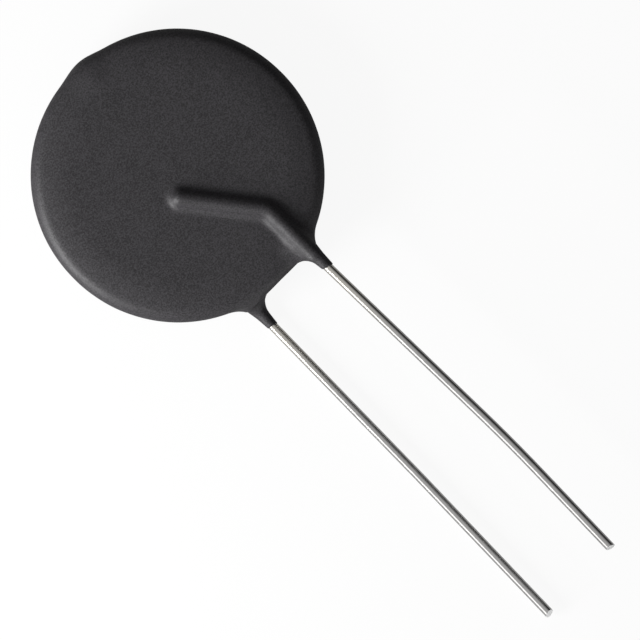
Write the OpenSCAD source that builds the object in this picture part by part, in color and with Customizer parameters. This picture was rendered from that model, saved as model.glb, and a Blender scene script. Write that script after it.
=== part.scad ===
// Disc thermistor of the inrush-limiting kind, with two radial leads.
// It lies on its back: X to the right, Y up the face away from the leads, Z out of the front face.

/* [Ceramic disc] */
// Diameter of the sintered disc
ceramic_d = 29; // [22:0.5:34]
// Thickness of the sintered disc
ceramic_t = 4; // [3:0.1:5.5]
// Chamfer round both edges of the disc
ceramic_chamfer = 0.3; // [0.1:0.05:0.5]

/* [Electrodes] */
// Thickness of the fired silver on each face
electrode_t = 0.05; // [0.03:0.01:0.1]
// Bare ceramic left between the silver and the edge
electrode_margin = 0.7; // [0.4:0.1:2]

/* [Leads] */
// Diameter of the tinned copper wire
wire_d = 1.02; // [0.8:0.01:1.1]
// Distance from the middle line to the front lead at its elbow
front_lead_x = 4.22; // [3.6:0.02:5]
// Distance from the middle line to the rear lead at its elbow
rear_lead_x = 4; // [3.6:0.02:5]
// Sideways distance from the middle line to the wire's inner end
inner_end_x = 1.5; // [0.8:0.1:2.2]
// Distance below the disc's centre to the wire's inner end
inner_end_y = 2; // [1.2:0.1:4]
// Distance below the disc's centre to the elbow on the face
elbow_y = 9.4; // [8:0.1:10.5]
// Centre-line radius of that elbow
elbow_r = 2.2; // [1.5:0.1:3]
// Outward lean of the front lead below its elbow, in degrees
front_lean = 1.17; // [0:0.01:2]
// Outward lean of the rear lead below its elbow, in degrees
rear_lean = 0.84; // [0:0.01:2]
// Distance below the disc's centre to the front lead's slow bend
front_bend_y = 45; // [38:0.5:50]
// Distance below the disc's centre to the rear lead's slow bend
rear_bend_y = 40.9; // [36:0.1:50]
// Centre-line radius of the slow bends
bend_r = 200; // [80:10:240]
// Lean of both straight tips towards the rear lead's side, in degrees
tip_lean = 1.43; // [0:0.01:2.5]
// Distance below the disc's centre to the front lead's cut end
front_tip_y = 60.66; // [56:0.02:70]
// Distance below the disc's centre to the rear lead's cut end
rear_tip_y = 61.1; // [56:0.02:70]

/* [Solder] */
// Thickness of the solder film between wire and silver
solder_film = 0.1; // [0.05:0.01:0.2]
// Radius of the solder fillets along the wire
solder_fillet_r = 0.45; // [0.2:0.05:0.5]
// Length of bare wire left at each end of the soldered run
solder_setback = 0.6; // [0.3:0.1:1.5]

/* [Coating] */
// Thickness of the coat over the disc's edge
rim_coat = 1; // [0.8:0.05:1.5]
// Thickness of the coat over the disc's faces
face_coat = 0.6; // [0.45:0.05:0.8]
// Rounding of the coated rim
rim_round = 2; // [1.4:0.05:2.2]
// Thickness of the coat over the wires on the faces
wire_coat = 0.35; // [0.25:0.01:0.5]
// Thickness of the coat at the end of each run-down
end_coat = 0.15; // [0.1:0.01:0.25]
// Length inside the rim over which the coat on the wires starts to thin
taper_lead_in = 2.5; // [1:0.1:4]
// Width over which ridge and face flow together
ridge_blend = 0.9; // [0.5:0.05:1.4]
// Length of the front run-down past the rim
front_run_down = 2.67; // [2:0.01:4]
// Length of the rear run-down past the rim
rear_run_down = 2.95; // [2:0.01:4]
// Slant of the front run-down's end, in degrees
front_end_slant = 18; // [0:1:22]
// Slant of the rear run-down's end, in degrees
rear_end_slant = 20; // [0:1:22]

/* [Web between the run-downs] */
// Radius of the swelling that carries each run-down
swell_r = 1.4; // [1:0.05:1.6]
// Distance of that swelling's centre inside the rim
swell_inset = 1.06; // [0.8:0.02:1.6]
// Shift of that swelling towards the middle line
swell_shift = 0.45; // [0:0.05:0.8]
// Height of that swelling's centre towards the lead's face
swell_height = 0.94; // [0.5:0.02:1.4]
// Drop of the swelling's upper end below the wire's own height
swell_drop = 0.06; // [0:0.02:0.2]
// Width over which swelling and rim flow together
swell_blend = 1.55; // [0.8:0.05:2]
// Thickness of the web between the run-downs
web_t = 3.2; // [2.4:0.1:4]

/* [Drip] */
// Radius of the drop inside the top of the rim
drip_r = 0.7; // [0.5:0.05:1]
// Depth of that drop inside the rim
drip_depth = 1; // [0.8:0.05:1.4]
// Place of the drip beside the middle line
drip_x = 0.85; // [-2:0.05:2]
// Width over which drop and rim flow together
drip_blend = 3; // [2:0.1:3.2]

/* [Hidden] */
$fn = 64;
FRONT = 1;
REAR = -1;

wire_r = wire_d / 2;
silver_z = ceramic_t / 2 + electrode_t;
wire_z = silver_z + solder_film + wire_r;
coated_r = ceramic_d / 2 + rim_coat;
coated_z = ceramic_t / 2 + face_coat;
ridge_r = wire_r + wire_coat;
end_r = wire_r + end_coat;
front_end_y = coated_r + front_run_down;
rear_end_y = coated_r + rear_run_down;

// The part's origin: on the surface it lies on, under the middle of its box
drip_y = coated_r - drip_depth - drip_r;
drip_crown = coated_r + pow(drip_blend - drip_depth, 2) / (4 * drip_blend);
box_top = drip_crown * drip_y / norm([drip_x, drip_y]);
box_bottom = max(front_tip_y, rear_tip_y);
disc_place = [0, (box_bottom - box_top) / 2, wire_z + ridge_r];

// Elbows are a hair thinner than the wire and run this far into its straight lengths
elbow_slack = 0.015;
elbow_lap = 0.2;

// Corner points of a lead seen from the front, from its inner end to its cut end
function lead_points(side) =
    let (
        front = side == FRONT,
        lean = front ? front_lean : rear_lean,
        bend_y = front ? front_bend_y : rear_bend_y,
        tip_y = front ? front_tip_y : rear_tip_y,
        inner = [-side * inner_end_x, -inner_end_y],
        elbow = [side * (front ? front_lead_x : rear_lead_x), -elbow_y],
        bend = elbow + (bend_y - elbow_y) * [side * tan(lean), -1],
        tip = bend + (tip_y - bend_y) * [-tan(tip_lean), -1]
    )
    [inner, elbow, bend, tip];

function unit(v) = v / norm(v);

// A rounded corner: [tangent point in, tangent point out, centre, radius, angle turned, bisector]
function rounded_corner(a, b, c, r) =
    let (
        along = unit(b - a),
        onward = unit(c - b),
        turned = acos(along * onward),
        hand = sign(along.x * onward.y - along.y * onward.x),
        setback = r * tan(turned / 2),
        start = b - setback * along,
        end = b + setback * onward,
        centre = start + r * hand * [-along.y, along.x]
    )
    [start, end, centre, r, turned, unit((start + end) / 2 - centre)];

// A straight length of round wire between two points at the lead's height
module wire_run(a, b, side) {
    heading = atan2(b.y - a.y, b.x - a.x);
    translate([a.x, a.y, side * wire_z])
        rotate([0, 0, heading])
            rotate([0, 90, 0])
                cylinder(r = wire_r, h = norm(b - a));
}

// A bend of round wire, with both ends run into the straight lengths beside it
module wire_bend(corner, side) {
    middle = atan2(corner[5].y, corner[5].x);
    sweep = corner[4] + 2 * elbow_lap / corner[3] * 180 / PI;
    translate([corner[2].x, corner[2].y, side * wire_z])
        rotate([0, 0, middle - sweep / 2])
            rotate_extrude(angle = sweep)
                translate([corner[3], 0])
                    circle(r = wire_r - elbow_slack);
}

module lead(side) {
    points = lead_points(side);
    elbow = rounded_corner(points[0], points[1], points[2], elbow_r);
    bend = rounded_corner(points[1], points[2], points[3], bend_r);
    wire_run(points[0], elbow[0], side);
    wire_bend(elbow, side);
    wire_run(elbow[1], bend[0], side);
    wire_bend(bend, side);
    wire_run(bend[1], points[3], side);
}

module front_lead() {
    color("silver") lead(FRONT);
}

module rear_lead() {
    color("silver") lead(REAR);
}

module ceramic_disc() {
    r = ceramic_d / 2;
    h = ceramic_t / 2;
    c = ceramic_chamfer;
    color("dimgray")
        rotate_extrude()
            polygon([[0, -h], [r - c, -h], [r, c - h], [r, h - c], [r - c, h], [0, h]]);
}

module electrode(side) {
    color("gainsboro")
        translate([0, 0, side == FRONT ? ceramic_t / 2 : -silver_z])
            cylinder(r = ceramic_d / 2 - electrode_margin, h = electrode_t);
}

module front_electrode() {
    electrode(FRONT);
}

module rear_electrode() {
    electrode(REAR);
}

// Section of the solder: two hollow fillets between the silver and the wire's flanks
module solder_section() {
    fillet_x = wire_r + solder_fillet_r;
    difference() {
        translate([-fillet_x, 0])
            square([2 * fillet_x, solder_film + wire_r]);
        for (hand = [-1, 1])
            translate([hand * fillet_x, solder_fillet_r])
                circle(r = solder_fillet_r);
        for (hand = [-1, 1])
            translate([hand * fillet_x - solder_fillet_r, solder_fillet_r])
                square([2 * solder_fillet_r, wire_d]);
        translate([0, solder_film + wire_r])
            circle(r = wire_r);
    }
}

module solder(side) {
    points = lead_points(side);
    elbow = rounded_corner(points[0], points[1], points[2], elbow_r);
    along = unit(elbow[0] - points[0]);
    start = points[0] + solder_setback * along;
    run = norm(elbow[0] - start) - solder_setback;
    color("lightgray")
        translate([start.x, start.y, side * silver_z])
            rotate([0, 0, atan2(along.y, along.x) + 90])
                mirror([0, 0, side == FRONT ? 0 : 1])
                    rotate([90, 0, 0])
                        linear_extrude(run)
                            solder_section();
}

module front_solder() {
    solder(FRONT);
}

module rear_solder() {
    solder(REAR);
}

// Distances to the forms that the coat is drawn from; each is below zero inside its form

// Two distances flow together where they differ by less than k
function blend(a, b, k) =
    let (h = max(k - abs(a - b), 0))
    min(a, b) - h * h / (4 * k);

// Distance to a box section whose corners are rounded by r, from its two overhangs
function rounded(over_a, over_b, r) =
    let (a = over_a + r, b = over_b + r)
    min(max(a, b), 0) + norm([max(a, 0), max(b, 0)]) - r;

function disc_distance(p) =
    rounded(norm([p.x, p.y]) - coated_r, abs(p.z) - coated_z, rim_round);

// Distance to a straight rod whose radius changes from ra to rb
function rod_distance(p, a, b, ra, rb) =
    let (t = min(max((p - a) * (b - a) / ((b - a) * (b - a)), 0), 1))
    norm(p - a - t * (b - a)) - ra - t * (rb - ra);

// Distance in plan to a rounded corner's arc, or a large number outside its sector
function arc_distance(q, corner) =
    let (v = q - corner[2], reach = norm(v))
    v * corner[5] >= reach * cos(corner[4] / 2) ? abs(reach - corner[3]) : 1000;

// Coated wire: its plan distance, its height, and its coat that thins towards the run-down's end
function ridge_distance(p, route) =
    let (
        q = [p.x, p.y],
        inner = rod_distance(q, route[0], route[1][0], 0, 0),
        outer = rod_distance(q, route[1][1], route[2], 0, 0),
        plan = min(inner, outer, arc_distance(q, route[1])),
        thinned = min(max((-p.y - taper_start_y) / (route[3] - taper_start_y), 0), 1)
    )
    norm([plan, p.z - route[4]]) - ridge_r - thinned * (end_r - ridge_r);

// Swelling of the coat that climbs from the rim to the wire under each run-down
function swell_distance(p, route) = rod_distance(p, route[5], route[6], swell_r, end_r);

function web_distance(p) =
    let (
        across = abs(p.x - (front_lead_x - rear_lead_x) / 2) - web_half,
        down = abs(p.y + coated_r - swell_r) - swell_r + web_inset
    )
    rounded(max(across, down), abs(p.z) - web_t / 2, web_round);

function drip_distance(p) =
    norm(p - [drip_x, drip_y, 0]) - drip_r;

// Distance to the coat's outer skin
function skin_distance(p) =
    let (d = disc_distance(p))
    d < -deep || abs(p.z) > wire_z + 2 * ridge_r ? d :
    p.y > 0 && norm([p.x - drip_x, p.y - drip_y]) < drip_reach ?
        blend(d, drip_distance(p), drip_blend) :
    let (
        low = p.y < swell_top_y ? blend(d, web_distance(p), web_blend) : d,
        a = p.y < swell_top_y ? blend(low, swell_distance(p, front_route), swell_blend) : low,
        b = p.y < swell_top_y ? blend(a, swell_distance(p, rear_route), swell_blend) : a,
        c = blend(b, ridge_distance(p, front_route), ridge_blend)
    )
    blend(c, ridge_distance(p, rear_route), ridge_blend);

// Where a lead's coat runs: [inner end, elbow, last point, run-down end, height, swelling's two ends]
function coat_route(side) =
    let (
        points = lead_points(side),
        elbow = rounded_corner(points[0], points[1], points[2], elbow_r),
        end_y = side == FRONT ? front_end_y : rear_end_y,
        fall = (points[2] - points[1]) / (points[1].y - points[2].y),
        foot = points[1] + (end_y + trim_spare - elbow_y) * fall,
        base = points[1] + (coated_r - swell_inset - elbow_y) * fall,
        top = points[1] + (end_y - swell_short - elbow_y) * fall
    )
    [
        points[0], elbow, foot, end_y, side * wire_z,
        [base.x - side * swell_shift, base.y, side * swell_height],
        [top.x, top.y, side * (wire_z - swell_drop)]
    ];

// The coat is drawn past each run-down's end by this much and cut there
trim_spare = 0.45;
// The swelling ends this far above the run-down's end
swell_short = 0.9;
taper_start_y = coated_r - taper_lead_in;
swell_top_y = -coated_r + swell_inset + swell_r + 2 * swell_blend;
web_half = (front_lead_x + rear_lead_x) / 2 - ridge_r;
web_inset = 0.13;
web_round = 1.2;
web_blend = 0.8;
// Nothing is worked out this far inside the disc, nor this far from the drip
deep = 1.5;
drip_reach = drip_r + 2 * drip_blend;
front_route = coat_route(FRONT);
rear_route = coat_route(REAR);

// Lattice for the skin: fine steps where the leads run, coarse ones elsewhere
fine_step = 0.56;
coarse_step = 1.25;
height_step = 0.62;
lattice_spare = 0.45;
lattice_x = max(front_lead_x, rear_lead_x) + 2 * ridge_r + ridge_blend / 2;
lattice_edge = drip_crown + lattice_spare;
lattice_low = -max(front_end_y, rear_end_y) - trim_spare - end_r - lattice_spare;
lattice_z = wire_z + ridge_r + lattice_spare;

function steps(from, to, step) =
    let (count = ceil((to - from) / step))
    [for (i = [0 : count - 1]) from + (to - from) * i / count];

xs = concat(
    steps(-lattice_edge, -lattice_x, coarse_step),
    steps(-lattice_x, lattice_x, fine_step),
    steps(lattice_x, lattice_edge, coarse_step),
    [lattice_edge]
);
ys = concat(
    steps(lattice_low, 0, fine_step),
    steps(0, lattice_edge, coarse_step),
    [lattice_edge]
);
zs = concat(steps(-lattice_z, lattice_z, height_step), [lattice_z]);

// Moves a point onto the skin along the slope of its distance
function onto_skin(p, rounds) =
    rounds == 0 ? p :
    let (
        e = 0.01,
        d = skin_distance(p),
        slope = [
            skin_distance(p + [e, 0, 0]) - d,
            skin_distance(p + [0, e, 0]) - d,
            skin_distance(p + [0, 0, e]) - d
        ] / e
    )
    onto_skin(p - d * slope / (slope * slope), rounds - 1);

function total(list) = list * [for (item = list) 1];

// Mean of the places where a cell's edges cross the skin
function crossing_mean(i, j, k, field) =
    let (
        corners = [for (c = [0 : 7]) [i + c % 2, j + floor(c / 2) % 2, k + floor(c / 4)]],
        values = [for (c = corners) field[c.x][c.y][c.z]],
        places = [for (c = corners) [xs[c.x], ys[c.y], zs[c.z]]],
        hits = [
            for (a = [0 : 7], bit = [1, 2, 4])
                let (b = a + bit)
                if (floor(a / bit) % 2 == 0 && (values[a] < 0) != (values[b] < 0))
                    places[a] + values[a] / (values[a] - values[b]) * (places[b] - places[a])
        ]
    )
    [for (axis = [0 : 2]) total([for (h = hits) h[axis]]) / len(hits)];

// Outer skin of the coat, before the inner pieces are taken out of it
module coat_skin() {
    nx = len(xs);
    ny = len(ys);
    nz = len(zs);
    field = [for (x = xs) [for (y = ys) [for (z = zs) skin_distance([x, y, z])]]];
    inside = [for (i = [0 : nx - 1]) [for (j = [0 : ny - 1]) [for (k = [0 : nz - 1])
        field[i][j][k] < 0 ? 1 : 0]]];
    cells = [
        for (i = [0 : nx - 2], j = [0 : ny - 2], k = [0 : nz - 2])
            let (
                low = inside[i][j][k] + inside[i + 1][j][k]
                    + inside[i][j + 1][k] + inside[i + 1][j + 1][k],
                high = inside[i][j][k + 1] + inside[i + 1][j][k + 1]
                    + inside[i][j + 1][k + 1] + inside[i + 1][j + 1][k + 1]
            )
            low + high > 0 && low + high < 8
    ];
    // Number of skin points before each cell, so that a cell's own point can be looked up
    numbers = [for (n = 0, count = 0; n < len(cells); count = count + (cells[n] ? 1 : 0), n = n + 1) count];
    function cell(i, j, k) = numbers[(i * (ny - 1) + j) * (nz - 1) + k];
    points = [
        for (i = [0 : nx - 2], j = [0 : ny - 2], k = [0 : nz - 2])
            if (cells[(i * (ny - 1) + j) * (nz - 1) + k])
                onto_skin(crossing_mean(i, j, k, field), 2)
    ];
    // Four cells round each lattice edge that crosses the skin, in order, turned by the way it crosses
    quads = [
        for (i = [0 : nx - 2], j = [0 : ny - 2], k = [0 : nz - 2])
            let (
                here = inside[i][j][k],
                along_x = here - inside[i + 1][j][k],
                along_y = here - inside[i][j + 1][k],
                along_z = here - inside[i][j][k + 1],
                round_x = [[0, -1, -1], [0, 0, -1], [0, 0, 0], [0, -1, 0]],
                round_y = [[-1, 0, -1], [-1, 0, 0], [0, 0, 0], [0, 0, -1]],
                round_z = [[-1, -1, 0], [0, -1, 0], [0, 0, 0], [-1, 0, 0]]
            )
            for (edge = [[along_x, round_x], [along_y, round_y], [along_z, round_z]])
                if (edge[0] != 0)
                    let (ring = [for (o = edge[1]) cell(i + o.x, j + o.y, k + o.z)])
                    edge[0] < 0 ? ring : [ring[3], ring[2], ring[1], ring[0]]
    ];
    triangles = [
        for (q = quads)
            let (short = norm(points[q[0]] - points[q[2]]) < norm(points[q[1]] - points[q[3]]))
            for (t = short ? [[0, 1, 2], [0, 2, 3]] : [[0, 1, 3], [1, 2, 3]])
                [for (n = t) q[n]]
    ];
    polyhedron(points, triangles);
}

// Slanted block that cuts a run-down off at its end
module run_down_cut(side) {
    points = lead_points(side);
    end_y = side == FRONT ? front_end_y : rear_end_y;
    end = points[1] + (end_y - elbow_y) / (points[1].y - points[2].y) * (points[2] - points[1]);
    slant = side == FRONT ? front_end_slant : rear_end_slant;
    reach = 2 * ridge_r;
    translate([end.x, end.y, 0])
        rotate([0, 0, -slant])
            translate([-reach, -reach, -lattice_z])
                cube([2 * reach, reach, 2 * lattice_z]);
}

module coating() {
    color("#2b2b2d")
        difference() {
            coat_skin();
            ceramic_disc();
            electrode(FRONT);
            electrode(REAR);
            solder(FRONT);
            solder(REAR);
            lead(FRONT);
            lead(REAR);
            run_down_cut(FRONT);
            run_down_cut(REAR);
        }
}

translate(disc_place) {
    ceramic_disc();
    front_electrode();
    rear_electrode();
    front_lead();
    rear_lead();
    front_solder();
    rear_solder();
    coating();
}
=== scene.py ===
import math

import bpy
import numpy as np
from mathutils import Matrix, Vector


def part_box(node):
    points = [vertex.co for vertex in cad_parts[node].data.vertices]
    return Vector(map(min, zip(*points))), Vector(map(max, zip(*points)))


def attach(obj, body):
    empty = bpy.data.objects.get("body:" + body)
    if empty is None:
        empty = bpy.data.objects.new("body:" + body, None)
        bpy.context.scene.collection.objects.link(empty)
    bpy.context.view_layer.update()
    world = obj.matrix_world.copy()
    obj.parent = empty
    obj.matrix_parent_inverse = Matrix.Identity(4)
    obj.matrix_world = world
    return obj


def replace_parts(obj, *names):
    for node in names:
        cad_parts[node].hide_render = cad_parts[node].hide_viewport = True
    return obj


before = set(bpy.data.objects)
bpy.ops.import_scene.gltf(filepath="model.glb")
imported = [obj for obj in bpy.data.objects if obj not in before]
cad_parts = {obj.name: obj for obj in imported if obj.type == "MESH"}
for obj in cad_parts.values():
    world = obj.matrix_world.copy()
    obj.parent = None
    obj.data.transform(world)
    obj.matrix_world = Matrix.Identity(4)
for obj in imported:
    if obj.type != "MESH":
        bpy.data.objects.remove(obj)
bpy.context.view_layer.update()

# Sizes are in millimetres from the disc's centre, as in the part's source; meshes are in metres.
MM = 0.001

# The disc and the wire, from the frame
disc_low, disc_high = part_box("ceramic_disc")
DISC_PLACE = np.array((disc_low + disc_high) / 2) / MM
CERAMIC_R = (disc_high.x - disc_low.x) / 2 / MM
CERAMIC_T = (disc_high.z - disc_low.z) / MM
lead_low, lead_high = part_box("front_lead")
WIRE_R = (lead_high.z - lead_low.z) / 2 / MM
WIRE_Z = (lead_high.z + lead_low.z) / 2 / MM - DISC_PLACE[2]

# Leads: front and rear, with distances below the disc's centre and leans in degrees
FRONT, REAR = 1, -1
LEAD_X = {FRONT: 4.22, REAR: 4.0}
LEAN = {FRONT: 1.17, REAR: 0.84}
BEND_Y = {FRONT: 45.0, REAR: 40.9}
TIP_Y = {FRONT: 60.66, REAR: 61.1}
TIP_LEAN = 1.43
INNER_END = (1.5, 2.0)
ELBOW_Y = 9.4
ELBOW_R = 2.2
BEND_R = 200.0
WIRE_SIDES = 40
WIRE_STEP = 0.25
# The drawn wire's slow unevenness, and its radians per ring
WIRE_UNEVEN = 0.004
WIRE_WAVE = 0.9
# Each cut runs at a slant: drawn back at least this far, then per mm towards +X and per mm upwards
CUT_BACK = {FRONT: 0.09, REAR: 0.0}
CUT_ACROSS = {FRONT: -0.22, REAR: 0.16}
CUT_UP = {FRONT: 0.34, REAR: 0.45}
# Rings over its worn edge: how far behind the cut, and how far in from the wire's side
CUT_RINGS = [(0.14, 0.0), (0.05, 0.002), (0.015, 0.014), (0.0, 0.05)]
# The stretch before the tip that only these rings cover
CUT_CLEAR = 1.2
# Rings on an end's face: share of its rim's radius, and depth of its dish
END_RINGS = [(0.93, 0.0), (0.45, 0.012)]
END_DISH = 0.012

# Coat
COATED_R = CERAMIC_R + 1.0
COATED_Z = CERAMIC_T / 2 + 0.6
RIM_ROUND = 1.25
RIDGE_R = WIRE_R + 0.35
END_R = WIRE_R + 0.15
RIDGE_BLEND = 0.9
TAPER_LEAD_IN = 2.5
RUN_DOWN = {FRONT: 2.67, REAR: 2.95}
END_SLANT = {FRONT: 20.0, REAR: 10.0}
SWELL_R = 1.52
SWELL_INSET = 1.06
SWELL_SHIFT = 0.45
SWELL_HEIGHT = 0.94
SWELL_BLEND = 1.55
SWELL_SHORT = 0.9
SWELL_DROP = 0.06
WEB_T = 3.2
WEB_INSET = 0.13
WEB_ROUND = 1.2
WEB_BLEND = 0.8
DRIP_R = 0.7
DRIP_DEPTH = 1.0
DRIP_X = 0.85
DRIP_BLEND = 3.0
TRIM_SPARE = 0.45
RIPPLE_DEPTH = 0.012
# The coat sags a little below the disc's middle, and its faces fall away towards the rim
SAG = 0.19
FALL_START = 11.0
FALL = 0.0275
# Depth of a run-down's coat above its end, on the sides towards and away from the middle line:
# at the end, per mm, and per mm to a power
INNER_DEPTH = {FRONT: (0.08, 0.1, 0.0065, 6), REAR: (0.07, 0.1, 0.0029, 6)}
OUTER_DEPTH = {FRONT: (0.13, 0.075, 0.0018, 5), REAR: (0.06, 0.08, 0.0013, 5)}
SLEEVE_BLEND = 0.12
SLEEVE_REACH = 2.0
# Slight waves of a run-down's end: height, radians per mm across and upwards, and a start
END_WAVE = 0.05
WAVE_ACROSS = 5.2
WAVE_UP = 6.1
WAVE_START = 1.3

# Lattice of the coat's skin: steps over the disc and round the leads, and room past the forms
DISC_STEP = (0.27, 0.24)
LEAD_STEP = (0.15, 0.12)
HEIGHT_STEP = 0.2
RIM_ROOM = 0.6
DRIP_ROOM = 0.3
LEADS_ROOM = 1.6
ENDS_ROOM = 0.8
NECK_ROOM = 0.9
RIDGE_ROOM = 0.4
# Fitting of its points to the distance: rounds, probe, least slope squared and longest step
FIT_ROUNDS = 3
FIT_PROBE = 0.004
FIT_LEAST_SLOPE = 0.2
FIT_LONGEST_STEP = 0.15

# Looks
COAT_TONES = (0.012, 0.045)
COAT_ROUGH = (0.5, 0.6)
WIRE_TONES = (0.67, 0.73)
WIRE_ROUGH = (0.11, 0.19)
# Where the wire's paler, warmer stretch begins to fade and ends, below the disc's middle
PALE_WIRE = (20.0, 30.0)
PALE_TIN = (0.86, 0.83, 0.77)
# A face of the wire that points this far towards -Y belongs to a cut
CUT_FACING = -0.6
CUT_TONE = 0.93
CUT_ROUGH = 0.65

# Studio, in metres
FLOOR_SIZE = 8.0
FLOOR_COLOUR = 0.22
FLOOR_SEEN = 0.9
CAMERA_LIFT = 0.92
# Painted reflection: what a gloss sees of the floor glows brighter on the lit -X side than on the
# +X side; from the -X to the +X side, over a width in millimetres
PAINTED_GLOSS_GLOW = (0.32, 0.16)
GLOSS_WIDTH = 16.0
# Tone of the surroundings by the X part of the direction
SKY = [(-1.0, 0.48), (-0.3, 0.46), (0.25, 0.44), (0.6, 0.16), (0.8, 0.04), (1.0, 0.02)]
# The share of the surroundings that reaches matt surfaces
MATT_SHARE = 0.55
# Soft boxes, with place, target, width, height and power: the key lights the face, the streak
# draws the rim's glint, the long one the wires' bright line, and the last lights their cuts
DISC_MIDDLE = tuple(DISC_PLACE * MM)
LAMPS = {
    "key": ((-0.135, 0.0507, 0.074), DISC_MIDDLE, 0.072, 0.063, 0.31),
    "streak": ((-0.36, 0.06, 0.076), DISC_MIDDLE, 0.06, 0.012, 0.56),
    "long": ((-0.28, -0.015, 0.14), (0, -0.015, 0.003), 0.22, 0.18, 0.14),
    "ends": ((0, -0.36, 0.01), (0, -0.038, 0.003), 0.12, 0.08, 0.4),
}

# The photograph looks straight down on the face, with the leads towards the lower right.
PHOTO_PIXELS = 640
PIXEL_MM = 0.10587
VIEW_CENTRE = (-0.163, -21.56)
CAMERA_HEIGHT = 1500.0
CAMERA_ROLL = -45.0
CAMERA_CLIP = (0.01, 20.0)
SENSOR = 36.0


def unit(v):
    return v / np.linalg.norm(v)


def slope_of(degrees):
    return math.tan(math.radians(degrees))


def lead_corners(side):
    """The lead's inner end, elbow, slow bend and cut end, in plan."""
    inner = np.array([-side * INNER_END[0], -INNER_END[1]])
    elbow = np.array([side * LEAD_X[side], -ELBOW_Y])
    bend = elbow + (BEND_Y[side] - ELBOW_Y) * np.array([side * slope_of(LEAN[side]), -1])
    tip = bend + (TIP_Y[side] - BEND_Y[side]) * np.array([-slope_of(TIP_LEAN), -1])
    return [inner, elbow, bend, tip]


def rounded_corner(a, b, c, r):
    """Tangent points, centre, radius, angle turned and bisector of a rounded corner."""
    along, onward = unit(b - a), unit(c - b)
    turned = math.acos(along @ onward)
    hand = np.sign(along[0] * onward[1] - along[1] * onward[0])
    setback = r * math.tan(turned / 2)
    start, end = b - setback * along, b + setback * onward
    centre = start + r * hand * np.array([-along[1], along[0]])
    middle = unit((start + end) / 2 - centre)
    return {"start": start, "end": end, "centre": centre, "r": r, "turned": turned,
            "middle": middle, "hand": hand}


# Distance fields for the coat

def blend(a, b, k):
    """Two distances flow together where they differ by less than k."""
    h = np.maximum(k - np.abs(a - b), 0)
    return np.minimum(a, b) - h * h / (4 * k)


def rounded(over_a, over_b, r):
    """Distance to a box section whose corners are rounded by r."""
    a, b = over_a + r, over_b + r
    return np.minimum(np.maximum(a, b), 0) + np.hypot(np.maximum(a, 0), np.maximum(b, 0)) - r


def rod_distance(p, a, b, ra, rb):
    """Distance to a straight rod whose radius changes from ra to rb."""
    a, b = np.asarray(a, float), np.asarray(b, float)
    d = b - a
    t = np.clip(sum((q - o) * e for q, o, e in zip(p, a, d)) / (d @ d), 0, 1)
    gap = np.sqrt(sum((q - o - t * e) ** 2 for q, o, e in zip(p, a, d)))
    return gap - ra - t * (rb - ra)


def arc_distance(x, y, corner):
    """Distance in plan to a rounded corner's arc, or a large number outside its sector."""
    vx, vy = x - corner["centre"][0], y - corner["centre"][1]
    reach = np.hypot(vx, vy)
    middle = corner["middle"]
    within = vx * middle[0] + vy * middle[1] >= reach * math.cos(corner["turned"] / 2)
    return np.where(within, np.abs(reach - corner["r"]), 1000)


class CoatRoute:
    """Where one lead's coat runs."""

    def __init__(self, side):
        inner, elbow, bend, _ = lead_corners(side)
        self.side = side
        self.inner = inner
        self.corner = rounded_corner(inner, elbow, bend, ELBOW_R)
        self.end_y = COATED_R + RUN_DOWN[side]
        self.fall = (bend - elbow) / (elbow[1] - bend[1])

        def at(y):
            return elbow + (y - ELBOW_Y) * self.fall

        self.foot = at(self.end_y + TRIM_SPARE)
        self.end = at(self.end_y)
        base, top = at(COATED_R - SWELL_INSET), at(self.end_y - SWELL_SHORT)
        self.swell = (
            (base[0] - side * SWELL_SHIFT, base[1], side * SWELL_HEIGHT),
            (top[0], top[1], side * (WIRE_Z - SWELL_DROP)),
        )

    def ridge_distance(self, x, y, z):
        """Distance to the ridge over the lead, which thins along the run-down."""
        c = self.corner
        plan = np.minimum(
            rod_distance((x, y), self.inner, c["start"], 0, 0),
            rod_distance((x, y), c["end"], self.foot, 0, 0),
        )
        plan = np.minimum(plan, arc_distance(x, y, c))
        taper_start = COATED_R - TAPER_LEAD_IN
        thinned = np.clip((-y - taper_start) / (self.end_y - taper_start), 0, 1)
        return np.hypot(plan, z - self.side * WIRE_Z) - RIDGE_R - thinned * (END_R - RIDGE_R)

    def swell_distance(self, x, y, z):
        return rod_distance((x, y, z), *self.swell, SWELL_R, END_R)

    def cut_distance(self, x, y, z):
        """Above zero past the run-down's slanted, slightly wavy end."""
        wave = END_WAVE * np.sin(WAVE_ACROSS * x + WAVE_START * self.side)
        wave = wave + END_WAVE * np.sin(WAVE_UP * z)
        return (-y - self.end_y) - slope_of(END_SLANT[self.side]) * (x - self.end[0]) + wave

    def sleeve_distance(self, x, y, z):
        """Distance to the trumpet that the run-down narrows in as it thins onto the wire."""
        back = self.end_y - np.clip(-y, COATED_R - SLEEVE_REACH, self.end_y)
        dx = x - self.end[0] + (self.end_y + y) * self.fall[0]
        off = np.hypot(dx, z - self.side * WIRE_Z)
        outward = 0.5 + 0.5 * self.side * dx / np.maximum(off, 0.01)
        depth, rise = 0, 0
        sides = ((1 - outward, INNER_DEPTH[self.side]), (outward, OUTER_DEPTH[self.side]))
        for share, (start, per_mm, factor, power) in sides:
            depth = depth + share * (start + per_mm * back + factor * back ** power)
            rise = rise + share * (per_mm + factor * power * back ** (power - 1))
        return (off - WIRE_R - depth) / np.hypot(1, rise)


ROUTES = [CoatRoute(FRONT), CoatRoute(REAR)]


def web_distance(x, y, z):
    """Distance to the web between the run-downs."""
    middle = (LEAD_X[FRONT] - LEAD_X[REAR]) / 2
    half_width = (LEAD_X[FRONT] + LEAD_X[REAR]) / 2 - RIDGE_R
    across = np.abs(x - middle) - half_width
    down = np.abs(y + COATED_R - SWELL_R) - SWELL_R + WEB_INSET
    return rounded(np.maximum(across, down), np.abs(z) - WEB_T / 2, WEB_ROUND)


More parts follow.
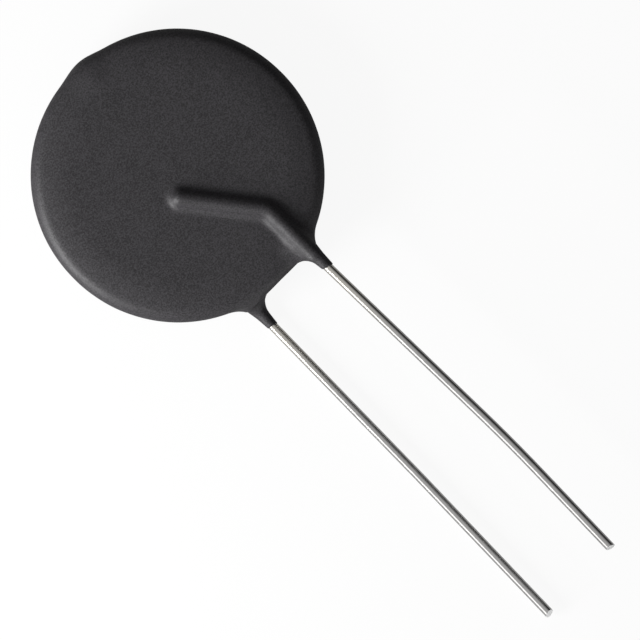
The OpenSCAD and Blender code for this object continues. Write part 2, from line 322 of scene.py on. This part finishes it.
def ripple(x, y, z):
    """Slow unevenness of the dried coat, from 0 to 1, in waves of 5 to 12 mm."""
    return 0.5 + 0.25 * (
        np.sin(0.63 * x + 0.4 * np.sin(0.5 * y)) * np.cos(0.51 * y + 0.8)
        + np.sin(1.27 * y - 0.7 * x + 1.1) * np.cos(0.9 * x + 1.1 * z)
    )


def coat_distance(x, y, z):
    """Distance to the coat's outer skin."""
    r = np.hypot(x, y)
    edge = COATED_R + SAG * np.maximum(-y, 0) / np.maximum(r, 1)
    face = COATED_Z - FALL * np.maximum(r - FALL_START, 0) ** 2
    d = rounded(r - edge, np.abs(z) - face, RIM_ROUND)
    low = blend(d, web_distance(x, y, z), WEB_BLEND)
    for route in ROUTES:
        low = blend(low, route.swell_distance(x, y, z), SWELL_BLEND)
    d = np.where(y < 0, low, d)
    for route in ROUTES:
        d = blend(d, route.ridge_distance(x, y, z), RIDGE_BLEND)
    drip = np.sqrt((x - DRIP_X) ** 2 + (y - COATED_R + DRIP_DEPTH + DRIP_R) ** 2 + z ** 2) - DRIP_R
    d = blend(d, drip, DRIP_BLEND)
    for route in ROUTES:
        near = (np.sign(x) == route.side) & (y < -COATED_R)
        kept = -blend(-d, -route.sleeve_distance(x, y, z), SLEEVE_BLEND)
        d = np.where(near, np.maximum(kept, route.cut_distance(x, y, z)), d)
    return d + RIPPLE_DEPTH * ripple(x, y, z)


# Skin of a distance field

def lattice_lines(*stretches):
    """Lines from (start, end, step) stretches that join end to end."""
    lines = [np.linspace(start, end, math.ceil((end - start) / step), endpoint=False)
             for start, end, step in stretches]
    last = stretches[-1][1]
    return np.concatenate(lines + [[last]])


def edge_ends(axis):
    """Index of the low and of the high end of every lattice edge along an axis."""
    low, high = [slice(None)] * 3, [slice(None)] * 3
    low[axis], high[axis] = slice(0, -1), slice(1, None)
    return tuple(low), tuple(high)


def edge_crossings(grid, field, axis):
    """Which lattice edges along an axis cross the skin, and where."""
    low, high = edge_ends(axis)
    a, b = field[low], field[high]
    crosses = (a < 0) != (b < 0)
    share = np.where(crosses, a / np.where(crosses, a - b, 1), 0)
    place = [g[low].copy() for g in grid]
    place[axis] += share * (grid[axis][high] - grid[axis][low])
    return crosses, place


def cell_edges(shape, axis):
    """Index of each of the four edges along an axis that a lattice cell has."""
    others = [n for n in range(3) if n != axis]
    for steps in ((0, 0), (0, 1), (1, 0), (1, 1)):
        pick = [slice(None)] * 3
        for n, step in zip(others, steps):
            pick[n] = slice(step, shape[n] - 1 + step)
        yield tuple(pick)


def skin_mesh(xs, ys, zs, distance):
    """Closed quad skin of the space where the distance is below zero, one point a cell."""
    grid = np.meshgrid(xs, ys, zs, indexing="ij")
    field = distance(*grid)
    cells = tuple(n - 1 for n in field.shape)
    total, hits = np.zeros((*cells, 3)), np.zeros(cells)
    for axis in range(3):
        crosses, place = edge_crossings(grid, field, axis)
        for pick in cell_edges(field.shape, axis):
            hits += crosses[pick]
            for n in range(3):
                total[..., n] += np.where(crosses[pick], place[n][pick], 0)
    active = hits > 0
    number = np.cumsum(active.ravel()).reshape(active.shape) - 1
    points = total[active] / hits[active][:, None]
    for _ in range(FIT_ROUNDS):
        points = onto_skin(points, distance)
    return points, skin_faces(field < 0, number)


def onto_skin(points, distance):
    """Moves points onto the skin along the slope of its distance."""
    p = points.T
    slope = np.array([
        (distance(*(p + shift)) - distance(*(p - shift))) / (2 * FIT_PROBE)
        for shift in FIT_PROBE * np.eye(3)[:, :, None]
    ])
    step = distance(*p) * slope / np.maximum((slope ** 2).sum(0), FIT_LEAST_SLOPE)
    return (p - np.clip(step, -FIT_LONGEST_STEP, FIT_LONGEST_STEP)).T


def skin_faces(inside, number):
    """Four cells round each lattice edge that crosses the skin, turned outwards."""
    faces = []
    around = [
        [(0, -1, -1), (0, 0, -1), (0, 0, 0), (0, -1, 0)],
        [(-1, 0, -1), (-1, 0, 0), (0, 0, 0), (0, 0, -1)],
        [(-1, -1, 0), (0, -1, 0), (0, 0, 0), (-1, 0, 0)],
    ]
    for axis in range(3):
        low, high = edge_ends(axis)
        a, b = inside[low], inside[high]
        for leaving in (True, False):
            at = np.argwhere((a & ~b) if leaving else (~a & b))
            ring = [number[tuple((at + o).T)] for o in around[axis]]
            faces.append(np.stack(ring if leaving else ring[::-1], axis=1))
    return np.concatenate(faces)


def make_mesh(name, points_mm, faces, material):
    """A smooth piece from points in millimetres about the disc's centre."""
    mesh = bpy.data.meshes.new(name)
    points = (np.asarray(points_mm) + DISC_PLACE) * MM
    mesh.from_pydata(points.tolist(), [], [list(map(int, f)) for f in faces])
    mesh.validate()
    mesh.polygons.foreach_set("use_smooth", [True] * len(mesh.polygons))
    mesh.materials.append(material)
    mesh.update()
    piece = bpy.data.objects.new(name, mesh)
    bpy.context.scene.collection.objects.link(piece)
    return piece


# Materials

class Nodes:
    """A short way to write the nodes of a material or the world."""

    def __init__(self, owner):
        self.owner = owner
        self.owner.use_nodes = True
        self.tree = owner.node_tree
        self.tree.nodes.clear()

    def add(self, kind, values=None, links=None, **settings):
        node = self.tree.nodes.new(kind)
        for key, value in settings.items():
            setattr(node, key, value)
        for key, value in (values or {}).items():
            node.inputs[key].default_value = value
        for key, socket in (links or {}).items():
            self.tree.links.new(socket, node.inputs[key])
        return node

    def millimetres(self, stretch=(1, 1, 1)):
        """Object coordinates in millimetres."""
        place = self.add("ShaderNodeTexCoord").outputs["Object"]
        scale = tuple(s / MM for s in stretch)
        return self.add("ShaderNodeMapping", {"Scale": scale}, {"Vector": place}).outputs["Vector"]

    def split(self, vector):
        return self.add("ShaderNodeSeparateXYZ", links={"Vector": vector}).outputs

    def noise(self, vector, scale, detail=2.0, roughness=0.5):
        values = {"Scale": scale, "Detail": detail, "Roughness": roughness}
        return self.add("ShaderNodeTexNoise", values, {"Vector": vector}).outputs["Fac"]

    def math(self, operation, *terms):
        """A Math node whose terms are numbers or sockets."""
        node = self.add("ShaderNodeMath", operation=operation)
        for socket, term in zip(node.inputs, terms):
            if isinstance(term, (int, float)):
                socket.default_value = term
            else:
                self.tree.links.new(term, socket)
        return node.outputs["Value"]

    def span(self, value, start, end, at_start=0, at_end=1):
        """Goes from at_start to at_end, and no further, while the value goes from start to end."""
        ends = {"From Min": start, "From Max": end, "To Min": at_start, "To Max": at_end}
        return self.add("ShaderNodeMapRange", ends, {"Value": value}).outputs["Result"]

    def ramp(self, fac, *stops):
        node = self.add("ShaderNodeValToRGB", links={"Fac": fac})
        elements = node.color_ramp.elements
        while len(elements) < len(stops):
            elements.new(0.5)
        for element, (place, colour) in zip(elements, stops):
            element.position = place
            element.color = (*colour, 1)
        return node.outputs["Color"]

    def mix(self, share, usual, other):
        """Goes from a colour socket to another colour. The node's names repeat, so its sockets
        go by number: 0 is the share, 6 and 7 are the colours, and 2 is the mixed one."""
        node = self.add("ShaderNodeMix", data_type="RGBA")
        node.inputs[7].default_value = (*other, 1)
        self.tree.links.new(share, node.inputs[0])
        self.tree.links.new(usual, node.inputs[6])
        return node.outputs[2]

    def bump(self, height, strength, depth, under=None):
        """Unevenness with a depth in millimetres, over an earlier one if there is any."""
        links = {"Height": height}
        if under is not None:
            links["Normal"] = under
        values = {"Strength": strength, "Distance": depth * MM}
        return self.add("ShaderNodeBump", values, links).outputs["Normal"]

    def surface(self, colour, rough, normal, values=None):
        """Ends a material with a Principled shader; the values are for its other sockets."""
        links = {"Base Color": colour, "Roughness": rough, "Normal": normal}
        shader = self.add("ShaderNodeBsdfPrincipled", values, links)
        return self.finish(shader.outputs["BSDF"])

    def finish(self, shader, kind="ShaderNodeOutputMaterial"):
        self.add(kind, links={"Surface": shader})
        return self.owner


def new_material(name):
    return Nodes(bpy.data.materials.new(name))


def grey(value, warm=0.0):
    """A nearly neutral colour; warm above zero adds a little red and takes a little blue."""
    return (value * (1 + warm), value, value * (1 - warm))


def charcoal(value):
    """The coat's grey, a trace towards violet."""
    return (value * 1.02, value * 0.96, value * 1.06)


def coat_material():
    """Black dip coat: satin, with a fine grain and faint cloudy patches."""
    n = new_material("black_coat")
    place = n.millimetres()
    cloud = n.noise(place, scale=0.25)
    grain = n.noise(place, scale=6.0, roughness=0.65)
    fine = n.noise(place, scale=3.6, detail=4.0, roughness=0.6)
    speck = n.math("MULTIPLY_ADD", grain, 0.92, n.math("MULTIPLY", cloud, 0.08))
    colour = n.ramp(speck, (0.36, charcoal(COAT_TONES[0])), (0.64, charcoal(COAT_TONES[1])))
    rough = n.ramp(fine, (0.3, grey(COAT_ROUGH[0])), (0.7, grey(COAT_ROUGH[1])))
    normal = n.bump(fine, 0.4, 0.03, under=n.bump(grain, 0.35, 0.012))
    return n.surface(colour, rough, normal, {"Specular IOR Level": 0.35})


def wire_material():
    """Tinned wire: bright, with faint drawn lines along it and small dull patches. It is a
    little paler and warmer near the coat, and its cuts are matt."""
    n = new_material("tinned_wire")
    lines = n.noise(n.millimetres((1, 0.03, 1)), scale=14.0)
    patches = n.noise(n.millimetres(), scale=1.6, detail=3.0, roughness=0.6)
    colour = n.ramp(patches, (0.35, grey(WIRE_TONES[0], 0.01)), (0.65, grey(WIRE_TONES[1], 0.015)))
    height = n.split(n.millimetres())["Y"]
    pale_end, fade_start = [DISC_PLACE[1] - below for below in reversed(PALE_WIRE)]
    colour = n.mix(n.span(height, pale_end, fade_start), colour, PALE_TIN)
    rough = n.ramp(patches, (0.3, grey(WIRE_ROUGH[0])), (0.7, grey(WIRE_ROUGH[1])))
    facing = n.split(n.add("ShaderNodeNewGeometry").outputs["True Normal"])["Y"]
    cut = n.math("LESS_THAN", facing, CUT_FACING)
    colour = n.mix(cut, colour, grey(CUT_TONE))
    rough = n.mix(cut, rough, grey(CUT_ROUGH))
    normal = n.bump(patches, 0.07, 0.02, under=n.bump(lines, 0.1, 0.006))
    return n.surface(colour, rough, normal, {"Metallic": 1.0})


def metal_paste_material(name, tones, roughs, scale):
    """Fired silver or solder: a dull metal with small patches."""
    n = new_material(name)
    patches = n.noise(n.millimetres(), scale, detail=4.0, roughness=0.6)
    colour = n.ramp(patches, (0.3, grey(tones[0], 0.02)), (0.7, grey(tones[1], 0.02)))
    rough = n.ramp(patches, (0.3, grey(roughs[0])), (0.7, grey(roughs[1])))
    return n.surface(colour, rough, n.bump(patches, 0.4, 0.01), {"Metallic": 1.0})


def ceramic_material():
    """Sintered oxide: dark grey, matte, with fine specks."""
    n = new_material("oxide_ceramic")
    specks = n.noise(n.millimetres(), scale=5.0, detail=5.0, roughness=0.7)
    colour = n.ramp(specks, (0.3, grey(0.045, 0.03)), (0.7, grey(0.085, 0.03)))
    rough = n.ramp(specks, (0.3, grey(0.75)), (0.7, grey(0.9)))
    return n.surface(colour, rough, n.bump(specks, 0.5, 0.02))


# Pieces

def make_coat():
    """The dip coat's skin: disc, ridges, run-downs, web and drip in one surface."""
    edge = COATED_R + RIM_ROOM
    leads = max(LEAD_X.values()) + LEADS_ROOM
    ends = -COATED_R - max(RUN_DOWN.values()) - ENDS_ROOM
    neck = -COATED_R + NECK_ROOM
    high = WIRE_Z + RIDGE_R + RIDGE_ROOM
    xs = lattice_lines((-edge, -leads, DISC_STEP[0]), (-leads, leads, LEAD_STEP[0]),
                       (leads, edge, DISC_STEP[0]))
    ys = lattice_lines((ends, neck, LEAD_STEP[1]), (neck, edge + DRIP_ROOM, DISC_STEP[1]))
    zs = lattice_lines((-high, high, HEIGHT_STEP))
    points, faces = skin_mesh(xs, ys, zs, coat_distance)
    piece = make_mesh("coat_skin", points, faces, coat_material())
    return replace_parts(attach(piece, "root"), "coating")


def straight_points(start, end):
    """Points and directions along a straight length, without its end."""
    count = max(2, int(np.linalg.norm(end - start) / WIRE_STEP))
    return [(start + (end - start) * t, unit(end - start)) for t in np.linspace(0, 1, count)[:-1]]


def arc_points(corner):
    """Points and directions round a corner, without its end."""
    count = max(5, int(corner["r"] * corner["turned"] / WIRE_STEP))
    spoke = corner["start"] - corner["centre"]
    places = []
    for t in np.linspace(0, corner["turned"] * corner["hand"], count)[:-1]:
        turn = np.array([[math.cos(t), -math.sin(t)], [math.sin(t), math.cos(t)]])
        arm = turn @ spoke
        ahead = corner["hand"] * np.array([-arm[1], arm[0]]) / corner["r"]
        places.append((corner["centre"] + arm, ahead))
    return places


def lead_centre_line(side):
    """Points and directions along a lead, from its inner end to its cut end."""
    inner, elbow, bend, tip = lead_corners(side)
    first = rounded_corner(inner, elbow, bend, ELBOW_R)
    second = rounded_corner(elbow, bend, tip, BEND_R)
    places = straight_points(inner, first["start"]) + arc_points(first)
    places += straight_points(first["end"], second["start"]) + arc_points(second)
    places += straight_points(second["end"], tip)
    places.append((tip, unit(tip - second["end"])))
    return places


def cut_shift(side, across, up):
    """How far the slanted cut draws a point back along its lead."""
    spare = WIRE_R * (abs(CUT_ACROSS[side]) + CUT_UP[side])
    return CUT_BACK[side] + spare + CUT_ACROSS[side] * across + CUT_UP[side] * up


def wire_ring(side, place, ahead, thin, cut_ring=None):
    """The points round the wire at a place, or at its cut with its worn edge."""
    right = np.array([-ahead[1], ahead[0], 0])
    along = np.array([ahead[0], ahead[1], 0])
    centre = np.array([place[0], place[1], side * WIRE_Z])
    ring = []
    for angle in np.linspace(0, 2 * math.pi, WIRE_SIDES, endpoint=False):
        across, up = (WIRE_R - thin) * math.cos(angle), (WIRE_R - thin) * math.sin(angle)
        back = 0
        if cut_ring:
            behind, inset = cut_ring
            across, up = [v * (1 - inset / WIRE_R) for v in (across, up)]
            back = cut_shift(side, across, up) + behind
        ring.append(centre + across * right + up * np.array([0, 0, 1]) - back * along)
    return ring


def make_lead(side, name, node, material):
    """A drawn, tinned wire swept along its route, with a slanted, slightly worn cut end."""
    *run, tip = lead_centre_line(side)
    rings = [(*p, None) for p in run if np.linalg.norm(p[0] - tip[0]) > CUT_CLEAR]
    rings += [(*tip, cut_ring) for cut_ring in CUT_RINGS]
    points = []
    for k, (place, ahead, cut_ring) in enumerate(rings):
        thin = WIRE_UNEVEN * (0.5 + 0.5 * math.sin(WIRE_WAVE * k + side))
        points += wire_ring(side, place, ahead, thin, cut_ring)
    faces = []
    for low in range(0, (len(rings) - 1) * WIRE_SIDES, WIRE_SIDES):
        high = low + WIRE_SIDES
        for s in range(WIRE_SIDES):
            t = (s + 1) % WIRE_SIDES
            faces.append((low + s, high + s, high + t, low + t))
    close_ends(points, faces)
    piece = make_mesh(name, points, faces, material)
    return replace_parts(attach(piece, "root"), node)


def close_ends(points, faces):
    """Closes the first and last rings with flat faces that are a little dished."""
    for start, sign in ((0, -1), (len(points) - WIRE_SIDES, 1)):
        rim = np.array(points[start:start + WIRE_SIDES])
        centre = rim.mean(axis=0)
        inward = sign * unit(np.cross(rim[0] - centre, rim[WIRE_SIDES // 4] - centre))
        previous = start
        for share, depth in END_RINGS:
            ring = len(points)
            points += list(centre + share * (rim - centre) - depth * inward)
            for s in range(WIRE_SIDES):
                t = (s + 1) % WIRE_SIDES
                quad = (previous + s, ring + s, ring + t, previous + t)
                faces.append(quad if sign > 0 else quad[::-1])
            previous = ring
        hub = len(points)
        points.append(centre - END_DISH * inward)
        for s in range(WIRE_SIDES):
            fan = (previous + s, hub, previous + (s + 1) % WIRE_SIDES)
            faces.append(fan if sign > 0 else fan[::-1])


def dress_inner_pieces():
    """The pieces inside the coat keep their CAD form."""
    silver = metal_paste_material("fired_silver", (0.6, 0.78), (0.45, 0.6), scale=4.0)
    solder = metal_paste_material("solder", (0.42, 0.55), (0.3, 0.45), scale=2.5)
    finishes = {
        "ceramic_disc": ceramic_material(),
        "front_electrode": silver,
        "rear_electrode": silver,
        "front_solder": solder,
        "rear_solder": solder,
    }
    for node, material in finishes.items():
        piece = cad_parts[node]
        piece.data.materials.clear()
        piece.data.materials.append(material)


# Studio

def floor_material():
    """Pale floor: it takes the shadow, and what the camera or a gloss sees of it is lifted. What a
    gloss sees glows more on the -X side than on the +X side, a painted reflection of the lit side.
    """
    n = new_material("floor")
    path = n.add("ShaderNodeLightPath").outputs
    gloss = n.math("MAXIMUM", path["Is Glossy Ray"], path["Is Transmission Ray"])
    # Painted reflection: the floor's glow in reflections fades from the lit -X side to the +X side
    lift = n.span(n.split(n.millimetres())["X"], -GLOSS_WIDTH / 2, GLOSS_WIDTH / 2, *PAINTED_GLOSS_GLOW)
    gloss = n.math("MULTIPLY", gloss, lift)
    share = n.math("MAXIMUM", gloss, n.math("MULTIPLY", path["Is Camera Ray"], CAMERA_LIFT))
    pale = n.math("MULTIPLY_ADD", path["Is Camera Ray"], FLOOR_SEEN - FLOOR_COLOUR, FLOOR_COLOUR)
    matt = n.add("ShaderNodeBsdfDiffuse", links={"Color": pale})
    white = n.add("ShaderNodeEmission", {"Color": (1, 1, 1, 1), "Strength": 1.0})
    mix = n.add("ShaderNodeMixShader", links={0: share, 1: matt.outputs[0], 2: white.outputs[0]})
    return n.finish(mix.outputs[0])


def make_floor():
    """A flat square at height zero."""
    mesh = bpy.data.meshes.new("floor")
    h = FLOOR_SIZE / 2
    mesh.from_pydata([(-h, -h, 0), (h, -h, 0), (h, h, 0), (-h, h, 0)], [], [(0, 1, 2, 3)])
    mesh.materials.append(floor_material())
    plane = bpy.data.objects.new("floor", mesh)
    bpy.context.scene.collection.objects.link(plane)


def make_world():
    """Soft grey surroundings, darker towards +X, that the camera sees as white."""
    n = Nodes(bpy.data.worlds.new("studio"))
    way = n.add("ShaderNodeTexCoord").outputs["Generated"]
    towards = n.span(n.split(way)["X"], -1, 1)
    tone = n.ramp(towards, *[((x + 1) / 2, grey(value)) for x, value in SKY])
    path = n.add("ShaderNodeLightPath").outputs
    strength = n.span(path["Is Diffuse Ray"], 0, 1, 1, MATT_SHARE)
    around = n.add("ShaderNodeBackground", links={"Color": tone, "Strength": strength})
    seen = n.add("ShaderNodeBackground", {"Color": (1, 1, 1, 1)})
    mix = n.add("ShaderNodeMixShader", links={0: path["Is Camera Ray"], 1: around.outputs[0],
                                              2: seen.outputs[0]})
    bpy.context.scene.world = n.finish(mix.outputs[0], "ShaderNodeOutputWorld")


def make_lamp(name, place, target, width, height, power):
    """A soft box aimed at a point."""
    lamp = bpy.data.lights.new(name, "AREA")
    lamp.shape = "RECTANGLE"
    lamp.size = width
    lamp.size_y = height
    lamp.energy = power
    thing = bpy.data.objects.new(name, lamp)
    bpy.context.scene.collection.objects.link(thing)
    thing.location = place
    thing.rotation_euler = (Vector(target) - Vector(place)).to_track_quat("-Z", "Y").to_euler()


def make_camera():
    camera = bpy.data.cameras.new("camera")
    camera.sensor_width = SENSOR
    camera.lens = SENSOR * CAMERA_HEIGHT / (PHOTO_PIXELS * PIXEL_MM)
    camera.clip_start, camera.clip_end = CAMERA_CLIP
    thing = bpy.data.objects.new("camera", camera)
    bpy.context.scene.collection.objects.link(thing)
    place = DISC_PLACE + np.array([*VIEW_CENTRE, CAMERA_HEIGHT])
    turn = Matrix.Rotation(math.radians(CAMERA_ROLL), 4, "Z")
    thing.matrix_world = Matrix.Translation(Vector(place * MM)) @ turn
    bpy.context.scene.camera = thing


make_camera()
make_floor()
make_world()
for name, setting in LAMPS.items():
    make_lamp(name, *setting)
make_coat()
tin = wire_material()
make_lead(FRONT, "front_wire", "front_lead", tin)
make_lead(REAR, "rear_wire", "rear_lead", tin)
dress_inner_pieces()
bpy.context.scene.view_settings.view_transform = "Standard"
